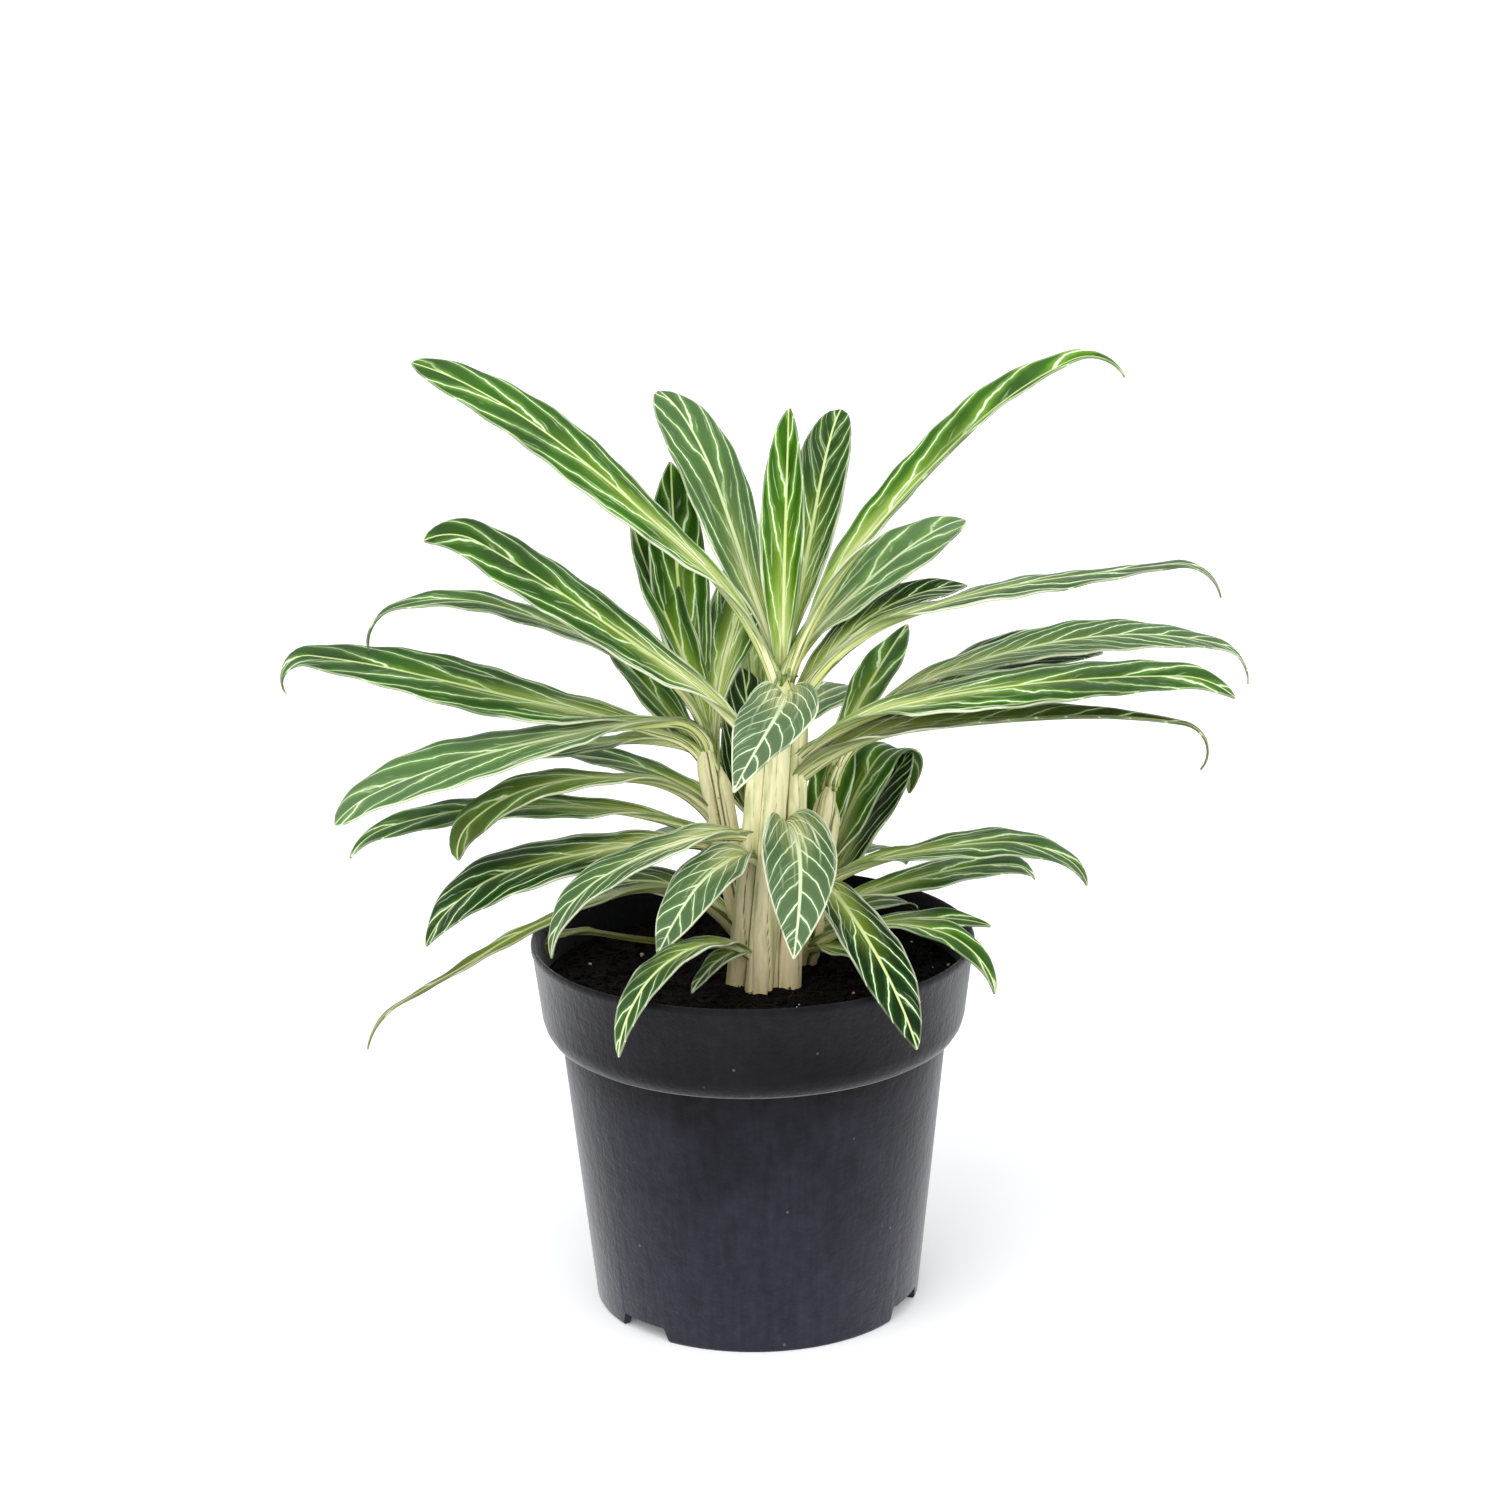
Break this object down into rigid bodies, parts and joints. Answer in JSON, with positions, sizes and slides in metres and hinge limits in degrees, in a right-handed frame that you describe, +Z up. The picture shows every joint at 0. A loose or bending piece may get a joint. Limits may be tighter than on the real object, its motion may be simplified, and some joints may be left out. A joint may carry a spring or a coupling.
{
  "type": "potted chinese evergreen",
  "caption": "Bushy foliage plant with long variegated leaves on sheathed stalks, standing in peat in a dark nursery pot.",
  "frame": {"origin": "middle of the pot's base, on the floor", "axes": "+Z up out of the pot, the seen side faces -Y"},
  "size_m": [0.328, 0.2058, 0.3265],
  "materials": {
    "pot": "moulded, fine grained",
    "soil": "loose peat with fine fibres",
    "stems": "smooth, ribbed sheaths",
    "leaves": "satin, pale veins on green"
  },
  "bodies": {
    "root": {"pot": "pot", "soil": "soil", "stem_centre": "stems", "stem_left": "stems", "stem_right": "stems", "stem_back": "stems", "leaf_crown_1": "leaves", "leaf_crown_2": "leaves", "leaf_crown_3": "leaves", "leaf_crown_4": "leaves", "leaf_crown_5": "leaves", "leaf_crown_6": "leaves", "leaf_crown_7": "leaves", "leaf_crown_8": "leaves", "leaf_right_1": "leaves", "leaf_right_2": "leaves", "leaf_right_3": "leaves", "leaf_right_4": "leaves", "leaf_right_5": "leaves", "leaf_right_6": "leaves", "leaf_right_7": "leaves", "leaf_right_8": "leaves", "leaf_right_9": "leaves", "leaf_right_10": "leaves", "leaf_right_11": "leaves", "leaf_right_12": "leaves", "leaf_right_13": "leaves", "leaf_right_14": "leaves", "leaf_front_1": "leaves", "leaf_front_2": "leaves", "leaf_front_3": "leaves", "leaf_front_4": "leaves", "leaf_front_5": "leaves", "leaf_front_6": "leaves", "leaf_left_1": "leaves", "leaf_left_2": "leaves", "leaf_left_3": "leaves", "leaf_left_4": "leaves", "leaf_left_5": "leaves", "leaf_left_6": "leaves", "leaf_left_7": "leaves", "leaf_left_8": "leaves", "leaf_left_9": "leaves", "leaf_left_10": "leaves", "leaf_left_11": "leaves", "leaf_left_12": "leaves", "leaf_left_13": "leaves", "leaf_left_14": "leaves", "leaf_upright_1": "leaves", "leaf_upright_2": "leaves", "leaf_upright_3": "leaves", "leaf_upright_4": "leaves", "leaf_back_1": "leaves", "leaf_back_2": "leaves", "leaf_back_3": "leaves", "leaf_back_4": "leaves", "leaf_back_5": "leaves", "leaf_back_6": "leaves"}
  },
  "joints": []
}
